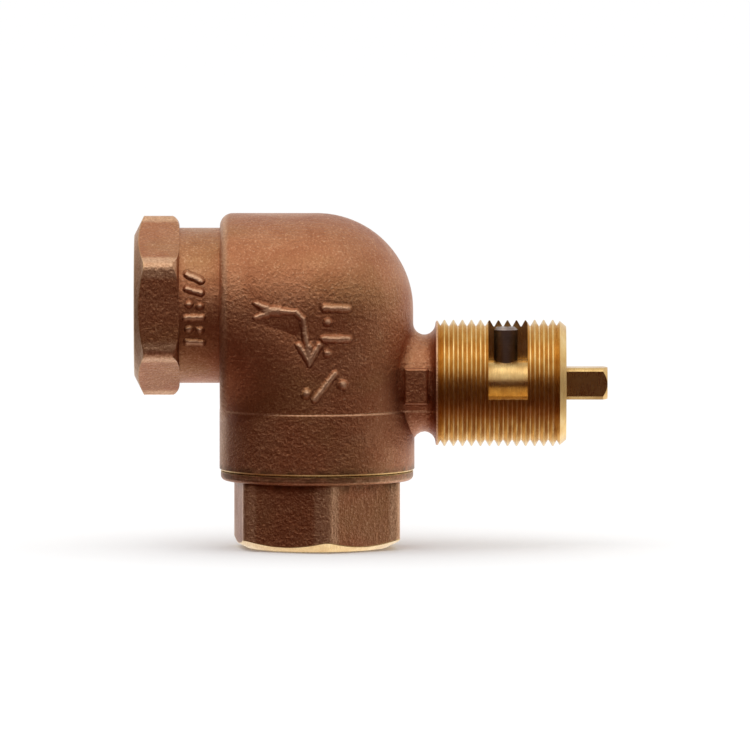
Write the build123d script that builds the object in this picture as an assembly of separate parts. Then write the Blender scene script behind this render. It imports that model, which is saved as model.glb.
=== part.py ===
"""Angle-pattern relief valve with a quarter-turn test stem.

Frame: millimetres, +Z up. The origin is the centre of the outlet port's mouth. The outlet axis is Z,
the inlet port faces -X, and the valve stem lies along +X. The valve is shut and the stop pin points up.
"""

from build123d import *
import os
from math import cos, sin, sqrt, radians, pi

# Cast body
BODY_R = 19.35
COLLAR_R = 19.6
COLLAR_BEVEL = 0.35
COLLAR_LEDGE = 0.25
BODY_BOTTOM = 15.5
COLLAR_TOP = 27.9
DOME_Z = 47.84
BARREL_END = -19.5
BARREL_ROUND = 2.6
CROOK_R = 24.0
CORE_R = 16.0
CORE_REACH = 16.6
WEB_BOTTOM = 24.0
WEB_TOP = 27.0

# Pipe ports: 3/4 inch, 14 threads per inch
PITCH = 25.4 / 14
PORT_LAND_R = 11.7
PORT_GROOVE_R = 12.88
PORT_MOUTH_R = 13.5
PORT_THREADS = 5
PORT_DEPTH = 12.7
PASSAGE_R = 12.2
HEX_FLATS = 31.75
HEX_CORNER_ROUND = 2.0
END_FACE_R = 14.1
END_SLOPE = 0.5

# Inlet
INLET_Z = 48.64
INLET_END = -36.7
INLET_NECK_R = 15.6
INLET_HEX_LENGTH = 9.1
INLET_HEX_ROUND = 2.4

# Outlet bonnet and its thread in the body
FLANGE_R = 19.35
FLANGE_BOTTOM = 13.53
FLANGE_TOP = 15.36
FLANGE_ROUND = 1.0
BONNET_TOP = 23.2
BONNET_PITCH = 1.5
BONNET_TURN_DEG = 36.5
BONNET_THREAD_R = 17.0
BONNET_ROOT_R = 16.1
THREAD_GAP = 0.1
BONNET_FIRST_CREST = 18.0
BONNET_THREADS = 4
POCKET_R = 13.3
O_RING_FLOOR_R = 15.6
O_RING_TOP = 17.3
O_RING_R = 0.8

# Shank: 1 inch, 14 threads per inch, and the window cut through one quarter of it
STEM_Z = 33.0
WAIST_R = 9.75
WAIST_START = 8.0
WAIST_X = 21.5
WAIST_ROUND = 2.3
LIP_X = 24.3
LIP_R = 12.5
SHANK_R = 12.7
SHANK_END = 50.07
SHANK_FIRST_CREST = 25.6
SHANK_THREADS = 13
SHANK_THREAD_DEPTH = 0.6495 * PITCH
SHANK_BEVEL = 1.3
WINDOW_START = 34.4
WINDOW_END = 42.3
WINDOW_WALL = 2.53
PAD_START = 17.6
PAD_END = 22.2
PAD_HEIGHT = 7.2
PAD_FACE_Y = -10.9
PAD_THICK = 4.0
PAD_ROUND = 0.45
BORE_R = 4.8

# Stem
STEM_R = 9.525 / 2
JOURNAL_R = 4.35
JOURNAL_START = 11.0
SHOULDER_X = 19.4
CAM_HALF = 4.0
CAM_FLAT = 1.4
TURN_DEG = 90.0
LIFT = 2.6
STEM_NECK_R = 3.5
SQUARE = 6.35
SQUARE_START = 49.6
STEM_END = 58.4
SQUARE_CORNER_R = 4.05
SQUARE_BEVEL = 0.9
SEAL_GROOVES = (25.5, 29.1)
SEAL_GROOVE_WIDTH = 2.1
SEAL_FLOOR_R = 3.45
SEAL_HALF_WIDTH = 0.95
PIN_X = 37.95
PIN_R = 4.76 / 2
PIN_TIP = 11.3
PIN_ROOT = -1.4
BUSH_R = 6.0
BUSH_BORE_R = 4.4
BUSH_INNER_FACE = 14.0
BUSH_FLANGE = 1.0
BUSH_FLANGE_R = 6.9
BUSH_END = 19.2
THRUST_R = 5.5
THRUST_THICK = 0.5
THRUST_X = BUSH_INNER_FACE - BUSH_FLANGE - THRUST_THICK - 0.05
RETAINER_R = 5.3
RETAINER_FLOOR_R = 3.9
RETAINER_THICK = 0.65
RETAINER_X = THRUST_X - RETAINER_THICK - 0.05

# Seat, disc and spring, from the seat's lip downward
SEAT_LIP_Z = 23.7
SEAT_BORE_R = 8.2
SEAT_LIP_R = 9.0
SEAT_THREAD_R = 10.9
SEAT_THREAD_DEPTH = 0.6
SEAT_CREST = 26.0
SEAT_FLANGE_R = 12.4
SEAT_FLANGE_BOTTOM = 24.1
SEAT_FLANGE_TOP = 24.6
SEAT_RECESS = 25.0
SEAT_GUIDE = 25.7
SEAT_HUB_R = 4.2
SEAT_RIB = 1.8
DISC_TOP = 23.68
DISC_BOTTOM = 21.88
DISC_R = 9.9
WASHER_R = 5.5
WASHER_THICK = 0.6
DISC_NUT_FLATS = 7.0
DISC_NUT_THICK = 1.2
HOLDER_R = 10.6
HOLDER_BOTTOM = 20.58
HOLDER_RIM = 23.1
ROD_R = 2.0
ROD_FOOT_R = 2.5
ROD_BOTTOM = 12.8
ROD_TOP = 30.8
CAM_GAP = 0.1
CAP_R = 3.4
CAP_THICK = 1.8
SPIDER_TOP = 14.9
SPIDER_BORE_R = 10.6
ARM_TOP = 14.4
ARM_WIDTH = 3.4
POST_R = 4.0
POST_TOP = 17.4
POST_FOOT_R = 5.2
GUIDE_BUSH_R = 3.2
SNAP_THICK = 0.7
SNAP_BITE = 0.6
SNAP_WIDTH = 1.65
SPRING_NUT_R = 7.4
SPRING_NUT_BOTTOM = 14.5
SPRING_NUT_COLLAR = 0.6
NOTCH_DEPTH = 1.2
NOTCH_WIDTH = 1.6
SPRING_BASE = 15.9
SPRING_R = 6.0
WIRE_R = 0.25
SPRING_TURNS = 3.5

# Fits, and how far a cutting solid runs past the face it cuts
FIT = 0.02
RUNNING_FIT = 0.05
OVERCUT = 1.0
STANDING = (Align.CENTER, Align.CENTER, Align.MIN)
OUTWARD = (Align.MIN, Align.CENTER, Align.MIN)


def drum(radius, low, high):
    """A solid cylinder about Z between two heights."""
    return Pos(0, 0, low) * Cylinder(radius, high - low, align=STANDING)


def ring(outer, inner, low, high):
    """A plain ring about Z between two heights."""
    return drum(outer, low, high) - drum(inner, low, high)


def turned(*points):
    """A solid turned about Z from outline points given as (radius, height)."""
    outline = make_face(Polyline(*[(r, 0, z) for r, z in points], close=True))
    return revolve(outline, axis=Axis.Z)


def on_stem(solid):
    """Lay a solid made about Z along the stem, so that its heights become distances along +X."""
    return Pos(0, 0, STEM_Z) * Rot(0, 90, 0) * solid


def on_inlet(solid):
    """Lay a solid made about Z into the inlet, its heights measured inward from the inlet's end."""
    return Pos(INLET_END, 0, INLET_Z) * Rot(0, 90, 0) * solid


def ridges(first, count, pitch, crest_r, root_r):
    """Outline points of 60 degree thread ridges, whose crests are an eighth of the pitch wide."""
    half_crest = pitch / 16
    half_foot = half_crest + abs(crest_r - root_r) / sqrt(3)
    points = []
    for i in range(count):
        centre = first + i * pitch
        points += [(root_r, centre - half_foot), (crest_r, centre - half_crest)]
        points += [(crest_r, centre + half_crest), (root_r, centre + half_foot)]
    return points


def hexagon(flats, round_r, low, high, turn):
    """A hexagonal bar about Z with rounded corners, turned by an angle in degrees."""
    outline = fillet(RegularPolygon(flats / 2, 6, major_radius=False).vertices(), round_r)
    return Pos(0, 0, low) * Rot(0, 0, turn) * extrude(outline, high - low)


def port_hole():
    """The threaded hole of a pipe port, entered at height 0: lands at one radius, grooves between."""
    mouth = PORT_MOUTH_R - PORT_LAND_R
    first_groove = mouth + PITCH / 2
    grooves = ridges(first_groove, PORT_THREADS, PITCH, PORT_GROOVE_R, PORT_LAND_R)
    return turned((0, -OVERCUT), (PORT_MOUTH_R, -OVERCUT), (PORT_MOUTH_R, 0), (PORT_LAND_R, mouth), *grooves,
                  (PORT_LAND_R, PORT_DEPTH), (0, PORT_DEPTH))


def end_cone(length):
    """Limits a hexagon: its end at height 0 is turned to a shallow cone with a flat face."""
    rim = HEX_FLATS
    return turned((0, 0), (END_FACE_R, 0), (rim, (rim - END_FACE_R) * END_SLOPE), (rim, length), (0, length))


def cast_shell():
    """The outside of the elbow: riser, inlet barrel, dome, and the blend in the crook."""
    riser = drum(BODY_R, BODY_BOTTOM, DOME_Z)
    barrel = Pos(0, 0, DOME_Z) * Rot(0, -90, 0) * drum(BODY_R, 0, -BARREL_END)
    dome = Pos(0, 0, DOME_Z) * Sphere(BODY_R)
    crook_axis = Axis((-CROOK_R, 0, DOME_Z - CROOK_R), (0, -1, 0))
    crook = revolve(Plane.XY.offset(DOME_Z - CROOK_R) * Circle(BODY_R), axis=crook_axis, revolution_arc=90)
    beyond = Box(3 * BODY_R, 3 * BODY_R, 6 * BODY_R, align=(Align.MAX, Align.CENTER, Align.CENTER))
    crook -= Pos(BARREL_END, 0, DOME_Z) * beyond
    shell = riser + barrel + dome + crook
    left_end = shell.faces().filter_by(GeomType.PLANE).sort_by(Axis.X)[0]
    return fillet(left_end.outer_wire().edges(), BARREL_ROUND)


def inlet_outside():
    """The inlet's neck and its hexagon, whose back corners are rounded into the neck."""
    back = INLET_HEX_LENGTH
    neck = drum(INLET_NECK_R, back / 2, BARREL_END - INLET_END + 2 * BARREL_ROUND)
    rounded = drum(HEX_FLATS / 2 + INLET_HEX_ROUND, 0, back)
    rounded = fillet(rounded.edges().sort_by(Axis.Z)[-1], INLET_HEX_ROUND)
    hexes = hexagon(HEX_FLATS, HEX_CORNER_ROUND, 0, back, 0) & end_cone(back) & rounded
    return on_inlet(neck + hexes)


def shank_outside():
    """The waist, its flared lip and the threaded shank, turned about the stem's axis."""
    swing = WAIST_R + WAIST_ROUND
    groove_side = WAIST_X + WAIST_ROUND
    middle = (swing - WAIST_ROUND * cos(pi / 4), 0, WAIST_X + WAIST_ROUND * sin(pi / 4))
    waist = ThreePointArc((WAIST_R, 0, WAIST_X), middle, (swing, 0, groove_side))
    threads = ridges(SHANK_FIRST_CREST, SHANK_THREADS, PITCH, SHANK_R, SHANK_R - SHANK_THREAD_DEPTH)
    lip_foot = (LIP_R, groove_side + 0.15)
    bevel_start = (SHANK_R - 0.2, SHANK_END - SHANK_BEVEL)
    end_face = (SHANK_R - SHANK_BEVEL, SHANK_END)
    inner = [(0, SHANK_END), (0, WAIST_START), (WAIST_R, WAIST_START), (WAIST_R, WAIST_X)]
    rim = [lip_foot, (LIP_R, LIP_X), *threads, bevel_start, end_face, *inner]
    line = Polyline((swing, 0, groove_side), *[(r, 0, z) for r, z in rim])
    return on_stem(revolve(make_face(waist + line), axis=Axis.Z))


def chamber():
    """The cored space above the seat, less the boss that holds the stem's bush, and the inlet's way in."""
    core = drum(CORE_R, WEB_TOP, DOME_Z) + Pos(0, 0, DOME_Z) * Sphere(CORE_R)
    core += Pos(0, 0, DOME_Z) * Rot(0, -90, 0) * drum(CORE_R, 0, CORE_REACH)
    core -= on_stem(drum(BUSH_R + 2, BUSH_INNER_FACE, CORE_R + 2))
    return core + on_inlet(port_hole() + drum(PASSAGE_R, PORT_DEPTH, -INLET_END - CORE_REACH / 2))


def bonnet_hole():
    """The threaded opening under the web, with room for the O-ring at its mouth."""
    root = BONNET_ROOT_R + THREAD_GAP
    grooves = ridges(BONNET_FIRST_CREST, BONNET_THREADS, BONNET_PITCH, BONNET_THREAD_R + THREAD_GAP, root)
    thread = turned((0, O_RING_TOP), (root, O_RING_TOP), *grooves, (root, WEB_BOTTOM), (0, WEB_BOTTOM))
    seal_r = O_RING_FLOOR_R + 2 * O_RING_R + THREAD_GAP
    return thread + drum(seal_r, BODY_BOTTOM - OVERCUT, O_RING_TOP + THREAD_GAP)


def seat_hole():
    """The threaded hole in the web and the recess for the seat's flange and gasket."""
    land = SEAT_THREAD_R - SEAT_THREAD_DEPTH
    groove = ridges(SEAT_CREST, 1, BONNET_PITCH, SEAT_THREAD_R, land)
    recess_r = SEAT_FLANGE_R + 0.2
    low = WEB_BOTTOM - OVERCUT
    high = WEB_TOP + OVERCUT
    return turned((0, low), (recess_r, low), (recess_r, SEAT_RECESS), (land, SEAT_RECESS), *groove,
                  (land, high), (0, high))


def stem_bore():
    """The bore along the shank, the wider bore for the bush, and the spot face under its flange."""
    bore = drum(BORE_R, BUSH_END - OVERCUT, SHANK_END + OVERCUT)
    bush_bore = drum(BUSH_R + FIT, BUSH_INNER_FACE - OVERCUT, BUSH_END)
    spot_face = drum(BUSH_FLANGE_R + 0.2, BUSH_INNER_FACE - BUSH_FLANGE - 0.3, BUSH_INNER_FACE)
    return on_stem(bore + bush_bore + spot_face)


def window_cut():
    """The quarter of the shank that is open, so that the pin can swing between its two walls."""
    reach = 2 * SHANK_R
    quarter = Box(WINDOW_END - WINDOW_START, reach, reach, align=(Align.MIN, Align.MAX, Align.MIN))
    return Pos(WINDOW_START, WINDOW_WALL, STEM_Z - WINDOW_WALL) * quarter


def collar():
    """The raised band round the body's mouth."""
    bevel = [(COLLAR_R - COLLAR_BEVEL, BODY_BOTTOM), (COLLAR_R, BODY_BOTTOM + COLLAR_BEVEL)]
    ledge = [(COLLAR_R, COLLAR_TOP - COLLAR_LEDGE), (COLLAR_R - COLLAR_LEDGE, COLLAR_TOP)]
    return turned((0, BODY_BOTTOM), *bevel, *ledge, (0, COLLAR_TOP))


def waist_pad():
    """The small flat pad cast on the front of the waist."""
    block = Box(PAD_END - PAD_START, PAD_THICK, PAD_HEIGHT, align=(Align.MIN, Align.MIN, Align.CENTER))
    pad = Pos(PAD_START, PAD_FACE_Y, STEM_Z) * block
    return fillet(pad.faces().sort_by(Axis.Y)[0].edges(), PAD_ROUND)


def valve_body():
    shell = cast_shell() + on_stem(drum(WAIST_R, WAIST_START, LIP_X))
    crease = [e for e in shell.edges()
              if e.geom_type == GeomType.BSPLINE and e.bounding_box().min.X > WAIST_START]
    shell = fillet(crease, WAIST_ROUND)
    outside = shell + collar() + inlet_outside() + shank_outside() + waist_pad()
    return outside - chamber() - bonnet_hole() - seat_hole() - stem_bore() - window_cut()


def outlet_bonnet():
    """Hexagon with the outlet port, flange, and the male thread that screws up into the body."""
    inside_flange = FLANGE_BOTTOM + 1
    hexes = hexagon(HEX_FLATS, HEX_CORNER_ROUND, 0, inside_flange, BONNET_TURN_DEG) & end_cone(inside_flange)
    flange = fillet(drum(FLANGE_R, FLANGE_BOTTOM, FLANGE_TOP).edges().sort_by(Axis.Z)[0], FLANGE_ROUND)
    crests = ridges(BONNET_FIRST_CREST, BONNET_THREADS, BONNET_PITCH, BONNET_THREAD_R, BONNET_ROOT_R)
    spigot = turned((0, FLANGE_BOTTOM), (O_RING_FLOOR_R, FLANGE_BOTTOM), (O_RING_FLOOR_R, O_RING_TOP - 0.1),
                    (BONNET_ROOT_R, O_RING_TOP), *crests, (BONNET_ROOT_R, BONNET_TOP), (0, BONNET_TOP))
    pocket = drum(POCKET_R, PORT_DEPTH, BONNET_TOP + OVERCUT)
    snap_groove = drum(POCKET_R + SNAP_BITE, SPIDER_TOP, SPIDER_TOP + SNAP_THICK + 2 * RUNNING_FIT)
    return hexes + flange + spigot - port_hole() - pocket - snap_groove


def bonnet_o_ring():
    middle = (FLANGE_TOP + O_RING_TOP) / 2
    return Pos(0, 0, middle) * Torus(O_RING_FLOOR_R + O_RING_R + FIT, O_RING_R)


def seat_ring():
    """Screwed up into the web. Its lip seals on the disc, and three ribs carry the rod's upper guide."""
    shank_r = SEAT_THREAD_R - SEAT_THREAD_DEPTH - THREAD_GAP
    crest = ridges(SEAT_CREST, 1, BONNET_PITCH, SEAT_THREAD_R - THREAD_GAP, shank_r)
    outside = turned((0, SEAT_LIP_Z), (SEAT_LIP_R, SEAT_LIP_Z), (SEAT_LIP_R, SEAT_FLANGE_BOTTOM),
                     (SEAT_FLANGE_R, SEAT_FLANGE_BOTTOM), (SEAT_FLANGE_R, SEAT_FLANGE_TOP),
                     (shank_r, SEAT_FLANGE_TOP), *crest, (shank_r, WEB_TOP), (0, WEB_TOP))
    seat = outside - drum(SEAT_BORE_R, SEAT_LIP_Z - OVERCUT, WEB_TOP + OVERCUT)
    rib = Pos(0, 0, SEAT_GUIDE) * Box(SEAT_BORE_R + 0.5, SEAT_RIB, WEB_TOP - SEAT_GUIDE, align=OUTWARD)
    for k in range(3):
        seat += Rot(0, 0, 120 * k + 60) * rib
    seat += drum(SEAT_HUB_R, SEAT_GUIDE, WEB_TOP)
    return seat - drum(ROD_R + RUNNING_FIT, SEAT_GUIDE - OVERCUT, WEB_TOP + OVERCUT)


def seat_gasket():
    return ring(SEAT_FLANGE_R, SEAT_THREAD_R + 0.2, SEAT_FLANGE_TOP, SEAT_RECESS)


def guide_spider():
    """A ring seated in the bonnet, with three arms and a threaded post for the rod's lower guide."""
    rim = ring(POCKET_R - RUNNING_FIT, SPIDER_BORE_R, PORT_DEPTH, SPIDER_TOP)
    arm = Pos(0, 0, PORT_DEPTH) * Box(SPIDER_BORE_R + 0.5, ARM_WIDTH, ARM_TOP - PORT_DEPTH, align=OUTWARD)
    spider = rim + drum(POST_R, PORT_DEPTH, POST_TOP) + drum(POST_FOOT_R, PORT_DEPTH, ARM_TOP)
    for k in range(3):
        spider += Rot(0, 0, 120 * k) * arm
    return spider - drum(GUIDE_BUSH_R + FIT, PORT_DEPTH - OVERCUT, POST_TOP + OVERCUT)


def rod_guide_bush():
    return ring(GUIDE_BUSH_R, ROD_FOOT_R + RUNNING_FIT, PORT_DEPTH, POST_TOP)


def snap_ring(outer, inner, low, high, gap_deg):
    """A flat spring ring with a gap and two plier eyes beside it."""
    band = ring(outer, inner, low, high)
    half = radians(gap_deg / 2)
    reach = outer + 2
    wedge = make_face(Polyline((0, 0), (reach * cos(half), reach * sin(half)),
                               (reach * cos(half), -reach * sin(half)), close=True))
    return band - Pos(0, 0, low - OVERCUT) * extrude(wedge, high - low + 2 * OVERCUT)


def spider_snap_ring():
    """Holds the spider down in the bonnet. Its plier eyes stand inward, one each side of the gap."""
    outer = POCKET_R + SNAP_BITE - RUNNING_FIT
    inner = outer - SNAP_WIDTH
    low = SPIDER_TOP + RUNNING_FIT
    high = low + SNAP_THICK
    band = snap_ring(outer, inner, low, high, 20)
    eye_r = 0.9
    eye_hole_r = 0.4
    for side in (-14, 14):
        band += Rot(0, 0, side) * Pos(inner, 0, 0) * ring(eye_r, eye_hole_r, low, high)
    return band


def adjusting_nut():
    """The round nut on the spider's post that carries the spring. Three notches take a pin spanner."""
    collar_r = SPRING_R - WIRE_R - 0.35
    collar_top = SPRING_BASE + SPRING_NUT_COLLAR
    nut = drum(SPRING_NUT_R, SPRING_NUT_BOTTOM, SPRING_BASE) + drum(collar_r, SPRING_BASE, collar_top)
    nut -= drum(POST_R + FIT, SPRING_NUT_BOTTOM - OVERCUT, collar_top + OVERCUT)
    notch = Box(2 * NOTCH_DEPTH, NOTCH_WIDTH, 2 * (SPRING_BASE - SPRING_NUT_BOTTOM))
    middle = (SPRING_NUT_BOTTOM + SPRING_BASE) / 2
    for k in range(3):
        nut -= Rot(0, 0, 120 * k + 60) * Pos(SPRING_NUT_R, 0, middle) * notch
    return nut


def valve_rod():
    """The disc's rod: its thicker foot runs in the lower guide and carries the disc holder."""
    foot = chamfer(drum(ROD_FOOT_R, ROD_BOTTOM, HOLDER_BOTTOM).edges().sort_by(Axis.Z)[0], 0.4)
    return foot + drum(ROD_R, HOLDER_BOTTOM, ROD_TOP)


def disc_holder():
    cup = drum(HOLDER_R, HOLDER_BOTTOM, HOLDER_RIM) - drum(DISC_R + RUNNING_FIT, DISC_BOTTOM, HOLDER_RIM)
    cup = chamfer(cup.edges().filter_by(GeomType.CIRCLE).group_by(Axis.Z)[0], 0.5)
    return cup - drum(ROD_R + FIT, HOLDER_BOTTOM - OVERCUT, HOLDER_RIM)


def seat_disc():
    return ring(DISC_R, ROD_R + FIT, DISC_BOTTOM, DISC_TOP)


def disc_washer():
    return ring(WASHER_R, ROD_R + FIT, DISC_TOP, DISC_TOP + WASHER_THICK)


def disc_nut():
    low = DISC_TOP + WASHER_THICK
    high = low + DISC_NUT_THICK
    return hexagon(DISC_NUT_FLATS, 0.4, low, high, 30) - drum(ROD_R + FIT, low - OVERCUT, high + OVERCUT)


def push_cap():
    """The hardened cap on the rod's top that the cam bears on."""
    cap_top = STEM_Z - CAM_FLAT - CAM_GAP
    cap_low = cap_top - CAP_THICK
    cap = chamfer(drum(CAP_R, cap_low, cap_top).edges().filter_by(GeomType.CIRCLE), 0.25)
    return cap - drum(ROD_R + FIT, cap_low - OVERCUT, ROD_TOP + FIT)


def relief_spring():
    """A light coil spring of even pitch between the adjusting nut and the disc holder."""
    start = WIRE_R + RUNNING_FIT
    rise = HOLDER_BOTTOM - SPRING_BASE - 2 * start
    path = Helix(rise / SPRING_TURNS, rise, SPRING_R)
    section = Plane(path @ 0, z_dir=path % 0) * Circle(WIRE_R)
    return Pos(0, 0, SPRING_BASE + start) * sweep(section, path=path, is_frenet=True)


def cam_bar():
    """The stem's inner end: a round bar milled so that lift over a flat cap grows evenly with turn.

    Its support distance from the axis is CAM_FLAT + rate * turn, which makes the worked edge an
    involute. The bar is drawn across its section as (X, Y) and laid along the stem afterwards.
    """
    rate = LIFT / radians(TURN_DEG)
    reach = CAM_FLAT + LIFT
    bar_r = sqrt(reach ** 2 + rate ** 2)

    def edge_point(turn):
        distance = CAM_FLAT + rate * turn
        down = distance * cos(turn) - rate * sin(turn)
        forward = distance * sin(turn) + rate * cos(turn)
        return (down, -forward)

    steps = 8
    curve = Spline(*[edge_point(radians(TURN_DEG) * i / steps) for i in range(steps + 1)])
    far = bar_r + OVERCUT
    start = edge_point(0)
    end = edge_point(radians(TURN_DEG))
    rest = Polyline(end, (end[0], -far), (far, -far), (far, far), (CAM_FLAT, far), start)
    length = 2 * CAM_HALF + 0.2
    milled = extrude(make_face(curve + rest), length)
    return Pos(0, 0, -CAM_HALF) * (drum(bar_r, 0, length) - milled)


def valve_stem():
    """One turned piece: cam, neck, journal, sealing land, pin land and the square drive."""
    groove = RETAINER_X - 0.05
    groove_end = groove + RETAINER_THICK + 0.15
    outline = [(0, CAM_HALF), (STEM_NECK_R, CAM_HALF), (STEM_NECK_R, JOURNAL_START - 0.4)]
    outline += [(JOURNAL_R, JOURNAL_START), (JOURNAL_R, groove), (RETAINER_FLOOR_R, groove)]
    outline += [(RETAINER_FLOOR_R, groove_end), (JOURNAL_R, groove_end), (JOURNAL_R, SHOULDER_X)]
    outline += [(STEM_R, SHOULDER_X), (STEM_R, SQUARE_START - 0.4), (STEM_R - 0.4, SQUARE_START)]
    shaft = turned(*outline, (0, SQUARE_START))
    for x in SEAL_GROOVES:
        shaft -= ring(STEM_R + OVERCUT, SEAL_FLOOR_R, x, x + SEAL_GROOVE_WIDTH)
    square = Pos(0, 0, SQUARE_START) * Box(SQUARE, SQUARE, STEM_END - SQUARE_START, align=STANDING)
    nose = drum(SQUARE_CORNER_R, SQUARE_START - OVERCUT, STEM_END)
    nose = chamfer(nose.edges().sort_by(Axis.Z)[-1], SQUARE_BEVEL)
    stem = on_stem(cam_bar() + shaft + (square & nose))
    hole = Pos(PIN_X, 0, STEM_Z) * drum(PIN_R + FIT / 2, PIN_ROOT - FIT, PIN_TIP)
    return stem - hole


def stop_pin():
    pin = chamfer(drum(PIN_R, PIN_ROOT, PIN_TIP).edges().sort_by(Axis.Z)[-1], 0.55)
    return Pos(PIN_X, 0, STEM_Z) * pin


def stem_o_ring(groove_start):
    """An O-ring squeezed between its groove and the bore, so its section is an ellipse."""
    high = (BORE_R - 2 * FIT - SEAL_FLOOR_R) / 2
    middle = groove_start + SEAL_GROOVE_WIDTH / 2
    section = Plane.XZ * Pos(SEAL_FLOOR_R + high, middle) * Ellipse(high, SEAL_HALF_WIDTH)
    return on_stem(revolve(section, axis=Axis.Z))


def stem_bush():
    """Flanged bush pressed into the body from inside, the stem's inner bearing."""
    barrel = ring(BUSH_R, BUSH_BORE_R, BUSH_INNER_FACE - BUSH_FLANGE, BUSH_END)
    flange = ring(BUSH_FLANGE_R, BUSH_BORE_R, BUSH_INNER_FACE - BUSH_FLANGE, BUSH_INNER_FACE)
    return on_stem(barrel + flange)


def stem_thrust_washer():
    return on_stem(ring(THRUST_R, JOURNAL_R + RUNNING_FIT, THRUST_X, THRUST_X + THRUST_THICK))


def stem_snap_ring():
    ring_end = RETAINER_X + RETAINER_THICK
    return on_stem(snap_ring(RETAINER_R, RETAINER_FLOOR_R + FIT, RETAINER_X, ring_end, 50))


PARTS = {
    "valve_body": valve_body(),
    "outlet_bonnet": outlet_bonnet(),
    "bonnet_o_ring": bonnet_o_ring(),
    "seat_ring": seat_ring(),
    "seat_gasket": seat_gasket(),
    "guide_spider": guide_spider(),
    "rod_guide_bush": rod_guide_bush(),
    "spider_snap_ring": spider_snap_ring(),
    "adjusting_nut": adjusting_nut(),
    "stem_bush": stem_bush(),
    "valve_rod": valve_rod(),
    "disc_holder": disc_holder(),
    "seat_disc": seat_disc(),
    "disc_washer": disc_washer(),
    "disc_nut": disc_nut(),
    "push_cap": push_cap(),
    "relief_spring": relief_spring(),
    "valve_stem": valve_stem(),
    "stop_pin": stop_pin(),
    "inner_stem_o_ring": stem_o_ring(SEAL_GROOVES[0]),
    "outer_stem_o_ring": stem_o_ring(SEAL_GROOVES[1]),
    "stem_thrust_washer": stem_thrust_washer(),
    "stem_snap_ring": stem_snap_ring(),
}

os.makedirs("parts", exist_ok=True)
for name, solid in PARTS.items():
    export_step(solid, f"parts/{name}.step")
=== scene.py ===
"""Looks for the angle relief valve: cast bronze body, turned brass shank, stem and pin, in a pale studio."""

import bpy
import math
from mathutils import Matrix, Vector, noise


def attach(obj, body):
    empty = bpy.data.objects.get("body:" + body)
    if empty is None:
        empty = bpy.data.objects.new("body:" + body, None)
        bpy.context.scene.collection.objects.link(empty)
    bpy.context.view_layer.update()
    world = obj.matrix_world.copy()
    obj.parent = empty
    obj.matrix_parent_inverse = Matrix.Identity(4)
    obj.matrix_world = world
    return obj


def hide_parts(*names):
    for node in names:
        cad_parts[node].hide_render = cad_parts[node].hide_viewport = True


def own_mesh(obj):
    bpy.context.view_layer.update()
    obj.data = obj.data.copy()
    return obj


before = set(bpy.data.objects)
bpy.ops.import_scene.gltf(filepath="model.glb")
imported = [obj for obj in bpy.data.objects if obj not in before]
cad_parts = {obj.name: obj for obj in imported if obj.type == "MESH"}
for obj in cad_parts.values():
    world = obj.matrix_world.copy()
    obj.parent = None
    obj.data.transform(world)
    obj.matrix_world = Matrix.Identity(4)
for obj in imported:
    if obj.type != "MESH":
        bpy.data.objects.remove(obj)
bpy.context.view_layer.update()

# Lengths are in the script's own unit, the millimetre, unless a line multiplies them by MM.
MM = 0.001

# Housing
BODY_R = 19.35
DOME_Z = 47.84
CROOK_R = 24.0
INLET_Z = 48.64
INLET_END = -36.7
NECK_R = 15.6
STEM_Z = 33.0
SHANK_START = 24.3
LEDGE_Z = 27.75
COLLAR_LOW_Z = 15.87
HEX_LOW_X = -27.6
HEX_TOP_Z = 13.4

# End faces of both hexagons: a flat ring, then a cone that rises END_SLOPE mm for each mm outwards
END_FACE_R = 14.1
END_SLOPE = 0.5
PORT_R = 13.7
HEX_CORNER_R = 17.0

# Relief spring at rest: its low and high ends, coil radius, wire radius and turns
SPRING_LOW = 15.9
SPRING_HIGH = 20.58
SPRING_R = 6.0
SPRING_WIRE_R = 0.25
SPRING_TURNS = 5.5

# Foundry marks: height of the ridges, and how deep the sheet's rim lies under the cast surface
ARROW_HEIGHT = 0.75
FRONT_MARK_HEIGHT = 0.70
NECK_MARK_HEIGHT = 0.62
MARK_SINK = 0.04

# Camera, in metres and degrees
CAMERA_TARGET = (0.01166, 0, 0.0346)
CAMERA_RISE = 4.0
CAMERA_DISTANCE = 4.188
CAMERA_LENS = 1000


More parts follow.
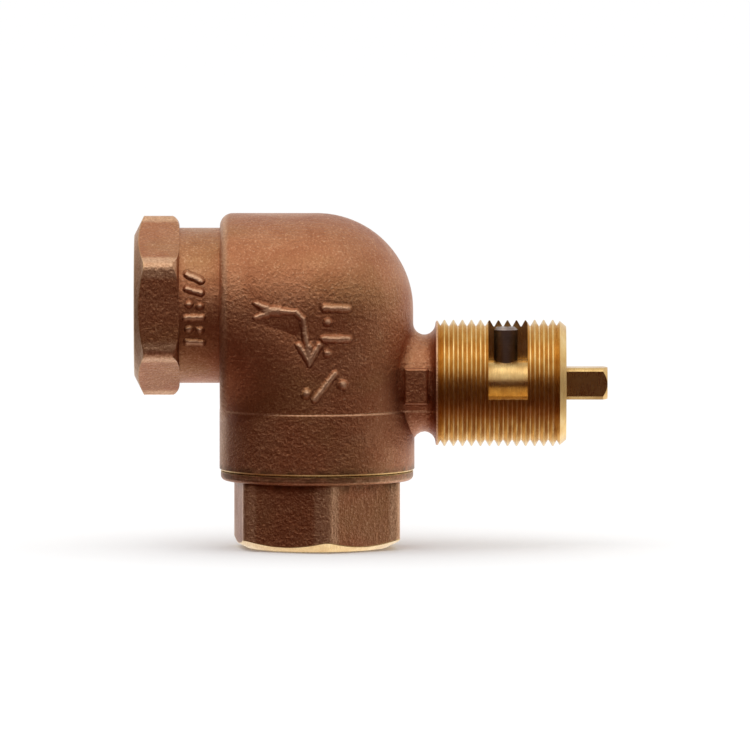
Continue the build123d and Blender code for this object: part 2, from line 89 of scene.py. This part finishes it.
class Finish:
    """A node material, with short ways to add the nodes that the finishes share."""

    def __init__(self, name, metallic, roughness):
        self.material = bpy.data.materials.new(name)
        self.material.use_nodes = True
        self.tree = self.material.node_tree
        self.shader = self.tree.nodes["Principled BSDF"]
        self.shader.inputs["Metallic"].default_value = metallic
        self.shader.inputs["Roughness"].default_value = roughness
        scale = self.add("ShaderNodeVectorMath", operation="SCALE")
        scale.inputs["Scale"].default_value = 1 / MM
        coordinates = self.add("ShaderNodeTexCoord")
        self.link(coordinates.outputs["Object"], scale.inputs[0])
        self.place = scale.outputs[0]
        split = self.add("ShaderNodeSeparateXYZ")
        self.link(self.place, split.inputs[0])
        self.x, self.y, self.z = split.outputs

    def add(self, kind, **settings):
        node = self.tree.nodes.new(kind)
        for key, value in settings.items():
            setattr(node, key, value)
        return node

    def link(self, source, target):
        if hasattr(source, "links"):
            self.tree.links.new(source, target)
        else:
            target.default_value = source

    def math(self, operation, a, b=0.0):
        node = self.add("ShaderNodeMath", operation=operation)
        self.link(a, node.inputs[0])
        self.link(b, node.inputs[1])
        return node.outputs[0]

    def radius(self, a, b):
        return self.math("SQRT", self.math("ADD", self.math("MULTIPLY", a, a), self.math("MULTIPLY", b, b)))

    def step(self, value, start, end):
        """0 at start and 1 at end, smooth between. End may be below start."""
        node = self.add("ShaderNodeMapRange", interpolation_type="SMOOTHSTEP")
        self.link(value, node.inputs["Value"])
        low, high = sorted((start, end))
        node.inputs["From Min"].default_value = low
        node.inputs["From Max"].default_value = high
        node.inputs["To Min"].default_value = float(end < start)
        node.inputs["To Max"].default_value = float(end > start)
        return node.outputs["Result"]

    def spread(self, value, low, high, to_low, to_high):
        node = self.add("ShaderNodeMapRange")
        self.link(value, node.inputs["Value"])
        for key, number in zip(("From Min", "From Max", "To Min", "To Max"), (low, high, to_low, to_high)):
            node.inputs[key].default_value = number
        return node.outputs["Result"]

    def noise(self, size, detail=3.0, rough=0.55, stretch=(1, 1, 1), distort=0.0):
        """Noise whose features are about size mm, drawn out along an axis by stretch."""
        mapping = self.add("ShaderNodeMapping")
        self.link(self.place, mapping.inputs["Vector"])
        mapping.inputs["Scale"].default_value = [1 / (size * s) for s in stretch]
        node = self.add("ShaderNodeTexNoise")
        self.link(mapping.outputs[0], node.inputs["Vector"])
        node.inputs["Scale"].default_value = 1.0
        node.inputs["Detail"].default_value = detail
        node.inputs["Roughness"].default_value = rough
        node.inputs["Distortion"].default_value = distort
        return node.outputs["Fac"]

    def cells(self, size):
        """Distance from the middle of cells about size mm across."""
        node = self.add("ShaderNodeTexVoronoi")
        self.link(self.place, node.inputs["Vector"])
        node.inputs["Scale"].default_value = 1 / size
        return node.outputs["Distance"]

    def ramp(self, value, *stops):
        node = self.add("ShaderNodeValToRGB")
        self.link(value, node.inputs["Fac"])
        points = node.color_ramp.elements
        while len(points) < len(stops):
            points.new(0.5)
        for point, (where, colour) in zip(points, stops):
            point.position = where
            point.color = (*colour, 1)
        return node.outputs["Color"]

    def mix(self, factor, a, b):
        node = self.add("ShaderNodeMix", data_type="RGBA")
        self.link(factor, node.inputs[0])
        for value, socket in ((a, node.inputs[6]), (b, node.inputs[7])):
            self.link((*value, 1) if isinstance(value, tuple) else value, socket)
        return node.outputs[2]

    def mix_number(self, factor, a, b):
        node = self.add("ShaderNodeMix", data_type="FLOAT")
        self.link(factor, node.inputs[0])
        self.link(a, node.inputs[2])
        self.link(b, node.inputs[3])
        return node.outputs[0]

    def bump(self, height, depth, strength=1.0):
        """Bump of depth mm between height 0 and 1."""
        node = self.add("ShaderNodeBump")
        node.inputs["Strength"].default_value = strength
        node.inputs["Distance"].default_value = depth * MM
        self.link(height, node.inputs["Height"])
        return node.outputs["Normal"]

    def finish(self, colour, roughness, normal):
        self.link(colour, self.shader.inputs["Base Color"])
        self.link(roughness, self.shader.inputs["Roughness"])
        self.link(normal, self.shader.inputs["Normal"])
        return self.material


def bronze(name, machined_mask, wear_and_highlight_mask, flats_mask, grime_and_shade_mask):
    """As-cast bronze with a sandy skin, and turned golden metal where the mask says it was machined."""
    f = Finish(name, 1.0, 0.45)
    machined = machined_mask(f)
    wear_and_highlight = wear_and_highlight_mask(f)
    flats = flats_mask(f)
    grime_and_shade = grime_and_shade_mask(f)
    sand = f.noise(0.46, 4, 0.66)
    pits = f.cells(0.9)
    lumps = f.noise(2.4, 3, 0.5)
    clouds = f.noise(9.0, 4, 0.6, distort=0.4)
    tint = f.noise(16.0, 2, 0.5)
    streaks = f.noise(0.35, 3, 0.6, stretch=(1, 1, 6))
    skin = f.ramp(clouds, (0.30, (0.41, 0.150, 0.067)), (0.5, (0.50, 0.208, 0.099)),
                  (0.72, (0.57, 0.272, 0.14)))
    skin = f.mix(f.spread(tint, 0.52, 0.68, 0.0, 0.45), skin, (0.44, 0.245, 0.10))
    skin = f.mix(f.spread(sand, 0.35, 0.62, 0.45, 0.0), skin, (0.25, 0.085, 0.036))
    skin = f.mix(f.spread(sand, 0.57, 0.72, 0.0, 0.5), skin, (0.82, 0.54, 0.33))
    # Real wear brightens the skin; on the body the mask also holds a painted highlight round the barrel's
    # end
    rubbed_and_highlit = f.math("MULTIPLY", wear_and_highlight, f.spread(sand, 0.35, 0.6, 0.35, 0.9))
    skin = f.mix(rubbed_and_highlit, skin, (0.80, 0.50, 0.30))
    # Real dirt darkens the skin; on the bonnet the mask also holds painted shade under the flange
    dirt_and_shade = f.math("MULTIPLY", grime_and_shade, f.spread(lumps, 0.38, 0.6, 0.15, 0.85))
    skin = f.mix(dirt_and_shade, skin, (0.20, 0.105, 0.045))
    rise = f.add("ShaderNodeAttribute", attribute_name="rise").outputs["Fac"]
    # Painted shade: the bronze darkens round the foot of each raised mark
    foot = f.math("MULTIPLY", f.step(rise, 0.0, 0.02), f.step(rise, 0.34, 0.10))
    skin = f.mix(f.math("MULTIPLY", foot, 0.5), skin, (0.13, 0.045, 0.02))
    skin = f.mix(f.math("MULTIPLY", f.step(rise, 0.45, 0.95), 0.65), skin, (0.84, 0.54, 0.34))
    turning = f.noise(0.06, 2, 0.6, stretch=(1, 60, 60))
    smear = f.noise(3.0, 3, 0.55)
    gold = f.ramp(smear, (0.3, (0.70, 0.44, 0.155)), (0.6, (0.82, 0.57, 0.24)),
                  (0.8, (0.88, 0.66, 0.34)))
    gold = f.mix(f.spread(turning, 0.45, 0.72, 0.0, 0.35), gold, (0.42, 0.20, 0.055))
    colour = f.mix(machined, skin, gold)
    cast_rough = f.spread(clouds, 0.3, 0.7, 0.42, 0.33)
    turned_rough = f.spread(turning, 0.3, 0.7, 0.24, 0.36)
    rough = f.mix_number(machined, cast_rough, turned_rough)
    grain = f.math("ADD", f.math("MULTIPLY", sand, 0.9), f.math("MULTIPLY", pits, 0.35))
    grain = f.math("ADD", grain, f.math("MULTIPLY", lumps, 0.45))
    brushed = f.math("ADD", f.math("MULTIPLY", grain, 0.85), f.math("MULTIPLY", streaks, 0.3))
    grain = f.mix_number(flats, grain, brushed)
    depth = f.mix_number(machined, grain, f.math("MULTIPLY", turning, 0.12))
    return f.finish(colour, rough, f.bump(depth, 0.20, 1.0))


def body_machined(f):
    across = f.math("SUBTRACT", f.z, INLET_Z)
    inlet_r = f.radius(f.y, across)
    cone = f.math("SUBTRACT", f.math("MULTIPLY", f.math("SUBTRACT", inlet_r, END_FACE_R), END_SLOPE),
                  f.math("SUBTRACT", f.x, INLET_END))
    end = f.step(cone, -0.22, -0.12)
    end = f.math("MULTIPLY", end, f.spread(inlet_r, END_FACE_R - 0.1, END_FACE_R + 0.4, 1.0, 0.25))
    bore = f.math("MULTIPLY", f.step(inlet_r, PORT_R, PORT_R - 0.2), f.step(f.x, -22.0, -23.0))
    shank = f.step(f.x, SHANK_START - 0.05, SHANK_START + 0.03)
    low = f.step(f.z, COLLAR_LOW_Z + 0.03, COLLAR_LOW_Z - 0.03)
    web = f.math("MULTIPLY", f.step(f.radius(f.x, f.y), 17.6, 17.4), f.step(f.z, 27.08, 27.04))
    mask = end
    for other in (bore, shank, low, web):
        mask = f.math("MAXIMUM", mask, other)
    return mask


def body_wear_and_highlight(f):
    stem_r = f.radius(f.y, f.math("SUBTRACT", f.z, STEM_Z))
    inlet_r = f.radius(f.y, f.math("SUBTRACT", f.z, INLET_Z))
    ledge = f.math("MULTIPLY", f.step(f.z, LEDGE_Z - 0.3, LEDGE_Z),
                   f.step(f.z, LEDGE_Z + 0.35, LEDGE_Z + 0.2))
    lip = f.math("MULTIPLY", f.step(f.x, 23.4, 24.1), f.step(stem_r, 11.9, 12.4))
    corner = f.math("MULTIPLY", f.step(inlet_r, HEX_CORNER_R - 0.1, HEX_CORNER_R + 0.4),
                    f.step(f.x, HEX_LOW_X + 0.3, HEX_LOW_X - 0.1))
    # Painted highlight: a bright band round the edge at the barrel's end
    barrel_end_highlight = f.math("MULTIPLY", f.step(f.x, -17.6, -18.6), f.step(f.x, -19.6, -19.2))
    barrel_end_highlight = f.math("MULTIPLY", barrel_end_highlight, 0.6)
    mask = ledge
    for other in (lip, corner, barrel_end_highlight):
        mask = f.math("MAXIMUM", mask, other)
    return mask


def body_flats(f):
    return f.step(f.x, HEX_LOW_X + 0.2, HEX_LOW_X - 0.2)


def body_grime(f):
    return f.math("MULTIPLY", f.step(f.z, 17.4, 15.9), f.step(f.x, 22.0, 20.0))


def bonnet_dirt_and_shade(f):
    # Painted shade: a dark band on the hexagon just under the flange. The band on the flange above it is
    # real dirt
    under = f.math("MULTIPLY", f.step(f.z, 11.2, HEX_TOP_Z + 0.2), f.step(f.z, 13.9, 13.5))
    band = f.math("MULTIPLY", f.step(f.z, 13.9, 14.4), 0.8)
    return f.math("MAXIMUM", under, band)


def bonnet_machined(f):
    radius = f.radius(f.x, f.y)
    cone = f.math("SUBTRACT", f.math("MULTIPLY", f.math("SUBTRACT", radius, END_FACE_R), END_SLOPE), f.z)
    bore = f.step(radius, PORT_R + 0.1, PORT_R - 0.1)
    spigot = f.step(f.z, 15.22, 15.30)
    return f.math("MAXIMUM", f.math("MAXIMUM", f.step(cone, -0.22, -0.12), bore), spigot)


def bonnet_worn(f):
    radius = f.radius(f.x, f.y)
    corner = f.math("MULTIPLY", f.step(radius, HEX_CORNER_R - 0.1, HEX_CORNER_R + 0.35),
                    f.step(f.z, HEX_TOP_Z, HEX_TOP_Z - 0.4))
    rim = f.math("MULTIPLY", f.step(radius, 19.0, 19.3), f.step(f.z, 14.9, 14.5))
    return f.math("MAXIMUM", f.math("MULTIPLY", corner, 0.7), f.math("MULTIPLY", rim, 0.5))


def bonnet_flats(f):
    return f.step(f.z, 13.5, 13.2)


def turned_metal(name, light, dark, roughness, axis, scratch=0.10):
    """Lathe-turned metal whose fine rings run round the given axis."""
    f = Finish(name, 1.0, roughness)
    along = {"x": (1, 60, 60), "z": (60, 60, 1)}[axis]
    rings = f.noise(0.07, 3, 0.6, stretch=along)
    bands = f.noise(0.9, 2, 0.5, stretch=along)
    stain = f.noise(3.2, 4, 0.6, distort=0.3)
    colour = f.ramp(stain, (0.30, dark), (0.62, light))
    colour = f.mix(f.spread(rings, 0.48, 0.75, 0.0, 0.4), colour, tuple(c * 0.5 for c in dark))
    rough = f.math("ADD", f.spread(rings, 0.3, 0.7, roughness - 0.05, roughness + 0.06),
                   f.spread(stain, 0.35, 0.7, 0.06, -0.03))
    height = f.math("ADD", f.math("MULTIPLY", rings, 0.6), f.math("MULTIPLY", bands, 0.4))
    return f.finish(colour, rough, f.bump(height, scratch * 0.3, 0.8))


def soft_solid(name, light, dark, roughness, grain):
    """Rubber, fibre or plastic: a dull solid with a fine grain and faint dusty patches."""
    f = Finish(name, 0.0, roughness)
    specks = f.noise(grain, 4, 0.65)
    patches = f.noise(2.2, 3, 0.5)
    colour = f.ramp(patches, (0.35, dark), (0.65, light))
    dust = tuple(min(1.0, c * 1.8 + 0.02) for c in light)
    colour = f.mix(f.spread(specks, 0.55, 0.75, 0.0, 0.35), colour, dust)
    rough = f.spread(specks, 0.3, 0.7, roughness - 0.08, roughness + 0.08)
    return f.finish(colour, rough, f.bump(specks, 0.02, 0.7))


BODY_BRONZE = bronze("body_bronze", body_machined, body_wear_and_highlight, body_flats, body_grime)
BONNET_BRONZE = bronze("bonnet_bronze", bonnet_machined, bonnet_worn, bonnet_flats, bonnet_dirt_and_shade)
STEM_BRASS = turned_metal("stem_brass", (0.80, 0.54, 0.22), (0.62, 0.38, 0.14), 0.26, "x")
TRIM_BRASS = turned_metal("trim_brass", (0.80, 0.55, 0.23), (0.60, 0.38, 0.14), 0.26, "z")
BEARING = turned_metal("sintered_bronze", (0.58, 0.36, 0.19), (0.44, 0.26, 0.13), 0.42, "z")
STAINLESS = turned_metal("turned_stainless", (0.66, 0.66, 0.65), (0.52, 0.52, 0.51), 0.28, "z")
BLACK_STEEL = turned_metal("blackened_steel", (0.34, 0.275, 0.245), (0.19, 0.150, 0.132), 0.34, "z", 0.04)
SPRING_STEEL = turned_metal("spring_strip", (0.55, 0.55, 0.56), (0.40, 0.40, 0.41), 0.32, "x")
RUBBER = soft_solid("moulded_rubber", (0.030, 0.030, 0.032), (0.018, 0.018, 0.019), 0.62, 0.15)
FIBRE = soft_solid("pressed_fibre", (0.33, 0.36, 0.31), (0.24, 0.28, 0.25), 0.80, 0.25)
PLASTIC = soft_solid("white_acetal", (0.82, 0.81, 0.77), (0.74, 0.73, 0.69), 0.45, 0.3)

FINISHES = {
    "valve_body": BODY_BRONZE, "outlet_bonnet": BONNET_BRONZE,
    "seat_ring": TRIM_BRASS, "guide_spider": TRIM_BRASS, "adjusting_nut": TRIM_BRASS,
    "disc_holder": TRIM_BRASS,
    "valve_stem": STEM_BRASS, "stem_bush": BEARING, "rod_guide_bush": BEARING,
    "valve_rod": STAINLESS, "disc_washer": STAINLESS, "disc_nut": STAINLESS,
    "push_cap": BLACK_STEEL, "stop_pin": BLACK_STEEL,
    "spider_snap_ring": SPRING_STEEL, "stem_snap_ring": SPRING_STEEL, "relief_spring": SPRING_STEEL,
    "seat_disc": RUBBER, "bonnet_o_ring": RUBBER, "inner_stem_o_ring": RUBBER, "outer_stem_o_ring": RUBBER,
    "seat_gasket": FIBRE, "stem_thrust_washer": PLASTIC,
}
for name, material in FINISHES.items():
    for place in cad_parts[name].material_slots:
        place.link = "OBJECT"
        place.material = material


def mesh_piece(name, points, faces, material):
    mesh = bpy.data.meshes.new(name)
    mesh.from_pydata(points, [], faces)
    mesh.materials.append(material)
    mesh.shade_smooth()
    piece = bpy.data.objects.new(name, mesh)
    bpy.context.scene.collection.objects.link(piece)
    return piece


def coil_spring():
    """The relief spring as a round wire coil with both end turns closed."""
    steps, sides = 44, 10
    end_turn, clearance = 0.9, 0.14
    rise = SPRING_HIGH - SPRING_LOW - 2 * (SPRING_WIRE_R + clearance)
    points = []
    count = int(SPRING_TURNS * steps) + 1
    for i in range(count):
        turn = i / steps
        climb = min(max((turn - end_turn) / (SPRING_TURNS - 2 * end_turn), 0.0), 1.0)
        closed = 0.12 * (min(turn, end_turn) - min(SPRING_TURNS - turn, end_turn))
        height = SPRING_LOW + SPRING_WIRE_R + clearance + rise * climb + closed
        angle = 2 * math.pi * turn
        for k in range(sides):
            around = 2 * math.pi * k / sides
            reach = SPRING_R + SPRING_WIRE_R * math.cos(around)
            points.append((reach * math.cos(angle) * MM, reach * math.sin(angle) * MM,
                           (height + SPRING_WIRE_R * math.sin(around)) * MM))
    faces = []
    for i in range(count - 1):
        for k in range(sides):
            a = i * sides + k
            b = i * sides + (k + 1) % sides
            faces.append((a, b, b + sides, a + sides))
    faces.append(tuple(reversed(range(sides))))
    faces.append(tuple(range((count - 1) * sides, count * sides)))
    piece = mesh_piece("relief_spring_coil", points, faces, SPRING_STEEL)
    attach(piece, "poppet")
    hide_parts("relief_spring")
    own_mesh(piece)


def front_of_body(x, z):
    """How far forward of the axis the elbow's cast surface stands at (x, z), in mm."""
    ring = math.hypot(x + CROOK_R, z - (DOME_Z - CROOK_R)) - CROOK_R
    forms = [x, ring if x < 0 else BODY_R, (z - DOME_Z) if x < 0 else math.hypot(x, max(z - DOME_Z, 0))]
    return max(math.sqrt(max(BODY_R ** 2 - d * d, 0)) for d in forms)


def front_of_neck(x, z):
    return math.sqrt(max(NECK_R ** 2 - (z - INLET_Z) ** 2, 0))


class Mark:
    """A raised mark along a line, as wide as half on each side of it, or tapering to half_end."""

    def __init__(self, x0, z0, x1, z1, half, half_end=None):
        self.x0, self.z0, self.x1, self.z1 = x0, z0, x1, z1
        self.half = half
        self.half_end = half if half_end is None else half_end
        self.reach = max(self.half, self.half_end)

    def across(self, x, z):
        """0 on the mark's line and 1 at its foot."""
        dx, dz = self.x1 - self.x0, self.z1 - self.z0
        long = dx * dx + dz * dz
        t = min(max(((x - self.x0) * dx + (z - self.z0) * dz) / long, 0), 1) if long else 0
        off = math.hypot(x - self.x0 - t * dx, z - self.z0 - t * dz)
        return off / (self.half + (self.half_end - self.half) * t)


def pip(x, z, radius):
    return Mark(x, z, x, z, radius)


def wander(x, z):
    """How unevenly the foot of a cast mark runs, in shares of its width."""
    coarse = noise.noise(Vector((x * 1.1, 3.7, z * 1.1)))
    fine = noise.noise(Vector((x * 2.9, 9.1, z * 2.9)))
    return 0.16 * coarse + 0.10 * fine


def relief(name, marks, front, height, grid=0.14):
    """A sheet that follows the cast surface and swells into a round ridge over each mark.

    Its attribute rise is 1 along a mark's top and 0 at its foot; the bronze brightens along the top, and
    darkens at the foot with painted shade.
    """
    x_low = min(min(m.x0, m.x1) - m.reach for m in marks) - 2 * grid
    x_high = max(max(m.x0, m.x1) + m.reach for m in marks) + 2 * grid
    z_low = min(min(m.z0, m.z1) - m.reach for m in marks) - 2 * grid
    z_high = max(max(m.z0, m.z1) + m.reach for m in marks) + 2 * grid
    columns = int((x_high - x_low) / grid) + 1
    rows = int((z_high - z_low) / grid) + 1
    points, rise, near = [], [], []
    for j in range(rows):
        for i in range(columns):
            x = x_low + i * grid
            z = z_low + j * grid
            across = min(m.across(x, z) for m in marks) + wander(x, z)
            share = (1 - min(max(across, 0), 1) ** 2) ** 2
            points.append((x * MM, -(front(x, z) + height * share - MARK_SINK) * MM, z * MM))
            rise.append(share)
            near.append(across < 1.15)
    faces = []
    for j in range(rows - 1):
        for i in range(columns - 1):
            a = j * columns + i
            corners = (a, a + 1, a + columns + 1, a + columns)
            if any(near[k] for k in corners):
                faces.append(corners)
    used = sorted({k for face in faces for k in face})
    renumber = {old: new for new, old in enumerate(used)}
    faces = [tuple(renumber[k] for k in face) for face in faces]
    piece = mesh_piece(name, [points[k] for k in used], faces, BODY_BRONZE)
    attribute = piece.data.attributes.new("rise", "FLOAT", "POINT")
    attribute.data.foreach_set("value", [rise[k] for k in used])
    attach(piece, "housing")


def foundry_marks():
    """A bent flow arrow and plain bars and pips, cast on the elbow and on the neck."""
    relief("flow_arrow", [
        Mark(-12.2, 50.3, -9.9, 49.3, 0.8, 1.3),
        Mark(-12.2, 47.5, -9.9, 48.3, 0.8, 1.3),
        Mark(-10.2, 48.8, -7.6, 48.8, 1.75, 1.6),
        Mark(-7.6, 48.8, -4.2, 48.6, 1.1, 0.95),
        Mark(-4.2, 48.6, -2.8, 47.2, 1.0, 1.0),
        Mark(-2.8, 47.2, -1.9, 41.6, 1.0, 1.1),
        Mark(-3.6, 42.0, -1.5, 38.4, 1.05, 0.95),
        Mark(0.5, 42.0, -1.5, 38.4, 1.05, 0.95),
        Mark(-1.7, 41.6, -1.5, 37.8, 1.7, 0.6),
    ], front_of_body, ARROW_HEIGHT)
    relief("front_foundry_marks", [
        Mark(1.6, 49.4, 6.2, 49.2, 1.15),
        pip(2.2, 46.6, 1.25),
        Mark(1.4, 43.2, 6.2, 43.1, 1.15),
        pip(2.2, 40.3, 1.25),
        Mark(-0.4, 31.0, 3.6, 36.2, 1.05),
        pip(-2.0, 32.2, 1.5),
        pip(5.2, 34.0, 1.5),
    ], front_of_body, FRONT_MARK_HEIGHT)
    relief("neck_foundry_marks", [
        Mark(-26.0, 55.8, -23.2, 54.6, 1.0),
        Mark(-26.0, 53.0, -23.2, 52.2, 1.0),
        pip(-25.6, 49.9, 1.1),
        pip(-23.4, 49.5, 1.1),
        Mark(-26.2, 47.2, -23.0, 47.2, 1.0),
        pip(-25.6, 44.8, 1.1),
        pip(-23.4, 44.6, 1.1),
        Mark(-26.0, 42.2, -23.0, 42.0, 1.0),
    ], front_of_neck, NECK_MARK_HEIGHT)


def set_world():
    """Soft white surround, which metal sees as dark at eye level in front and bright above and below."""
    world = bpy.data.worlds.new("studio")
    bpy.context.scene.world = world
    world.use_nodes = True
    tree = world.node_tree
    tree.nodes.clear()

    def add(kind, **settings):
        node = tree.nodes.new(kind)
        for key, value in settings.items():
            setattr(node, key, value)
        return node

    way = add("ShaderNodeTexCoord").outputs["Generated"]
    split = add("ShaderNodeSeparateXYZ")
    tree.links.new(way, split.inputs[0])
    lift = add("ShaderNodeMapRange")
    tree.links.new(split.outputs[2], lift.inputs["Value"])
    lift.inputs["From Min"].default_value = -1
    lift.inputs["From Max"].default_value = 1
    # Brightness from straight down, 0, to straight up, 1
    front = ((0.0, 0.80), (0.015, 0.55), (0.04, 0.33), (0.11, 0.25), (0.19, 0.11), (0.27, 0.062),
             (0.57, 0.062), (0.645, 0.34), (0.71, 0.78), (0.85, 0.95), (1.0, 0.80))
    back = ((0.0, 0.80), (0.08, 1.50), (0.30, 1.20), (0.50, 0.95), (0.75, 1.0), (1.0, 0.80))

    def shades(levels):
        """The brighter a level, the paler it is, and the darker, the browner."""
        ramp = add("ShaderNodeValToRGB")
        tree.links.new(lift.outputs[0], ramp.inputs["Fac"])
        while len(ramp.color_ramp.elements) < len(levels):
            ramp.color_ramp.elements.new(0.5)
        for element, (where, level) in zip(ramp.color_ramp.elements, levels):
            element.position = where
            pale = min(1.0, level / 0.75)
            element.color = (level, level * (0.31 + 0.69 * pale), level * (0.17 + 0.83 * pale), 1)
        return ramp.outputs[0]

    side = add("ShaderNodeMath", operation="MULTIPLY_ADD")
    tree.links.new(split.outputs[0], side.inputs[0])
    side.inputs[1].default_value = 0.55
    tree.links.new(split.outputs[1], side.inputs[2])
    behind = add("ShaderNodeMapRange", interpolation_type="SMOOTHSTEP")
    tree.links.new(side.outputs[0], behind.inputs["Value"])
    behind.inputs["From Min"].default_value = 0.06
    behind.inputs["From Max"].default_value = 0.85
    soft = add("ShaderNodeMix", data_type="RGBA")
    tree.links.new(behind.outputs[0], soft.inputs[0])
    tree.links.new(shades(front), soft.inputs[6])
    tree.links.new(shades(back), soft.inputs[7])
    metal = add("ShaderNodeBackground")
    tree.links.new(soft.outputs[2], metal.inputs["Color"])
    plain = add("ShaderNodeBackground")
    plain.inputs["Color"].default_value = (1, 1, 1, 1)
    path = add("ShaderNodeLightPath")
    join = add("ShaderNodeMixShader")
    tree.links.new(path.outputs["Is Glossy Ray"], join.inputs[0])
    tree.links.new(plain.outputs[0], join.inputs[1])
    tree.links.new(metal.outputs[0], join.inputs[2])
    output = add("ShaderNodeOutputWorld")
    tree.links.new(join.outputs[0], output.inputs["Surface"])
    world.cycles.sampling_method = "NONE"


def set_floor():
    mesh = bpy.data.meshes.new("studio_floor")
    half = 12.0
    corners = [(-half, -half, 0), (half, -half, 0), (half, half, 0), (-half, half, 0)]
    mesh.from_pydata(corners, [], [(0, 1, 2, 3)])
    floor = bpy.data.objects.new("studio_floor", mesh)
    floor.location.z = -0.0002
    bpy.context.scene.collection.objects.link(floor)
    paint = bpy.data.materials.new("studio_floor")
    paint.use_nodes = True
    shader = paint.node_tree.nodes["Principled BSDF"]
    shader.inputs["Base Color"].default_value = (0.93, 0.93, 0.93, 1)
    shader.inputs["Roughness"].default_value = 0.9
    shader.inputs["Specular IOR Level"].default_value = 0.0
    shader.inputs["Emission Color"].default_value = (1, 1, 1, 1)
    shader.inputs["Emission Strength"].default_value = 0.07
    mesh.materials.append(paint)
    floor.visible_glossy = False


def set_lamp(name, location, target, size, power):
    data = bpy.data.lights.new(name, "AREA")
    data.shape = "RECTANGLE"
    data.size, data.size_y = size
    data.energy = power
    lamp = bpy.data.objects.new(name, data)
    lamp.location = location
    lamp.rotation_euler = (Vector(target) - Vector(location)).to_track_quat("-Z", "Y").to_euler()
    bpy.context.scene.collection.objects.link(lamp)


def set_camera():
    target = Vector(CAMERA_TARGET)
    rise = math.radians(CAMERA_RISE)
    data = bpy.data.cameras.new("camera")
    data.lens = CAMERA_LENS
    data.sensor_width = 36
    data.clip_start = 0.05
    camera = bpy.data.objects.new("camera", data)
    camera.location = target + CAMERA_DISTANCE * Vector((0, -math.cos(rise), math.sin(rise)))
    camera.rotation_euler = (target - camera.location).to_track_quat("-Z", "Y").to_euler()
    bpy.context.scene.collection.objects.link(camera)
    bpy.context.scene.camera = camera


coil_spring()
foundry_marks()
set_world()
set_floor()
set_lamp("overhead_softbox", (-0.15, -0.25, 0.75), (0.01, 0, 0.035), (0.6, 0.5), 0.8)
set_camera()
bpy.context.scene.view_settings.view_transform = "Standard"
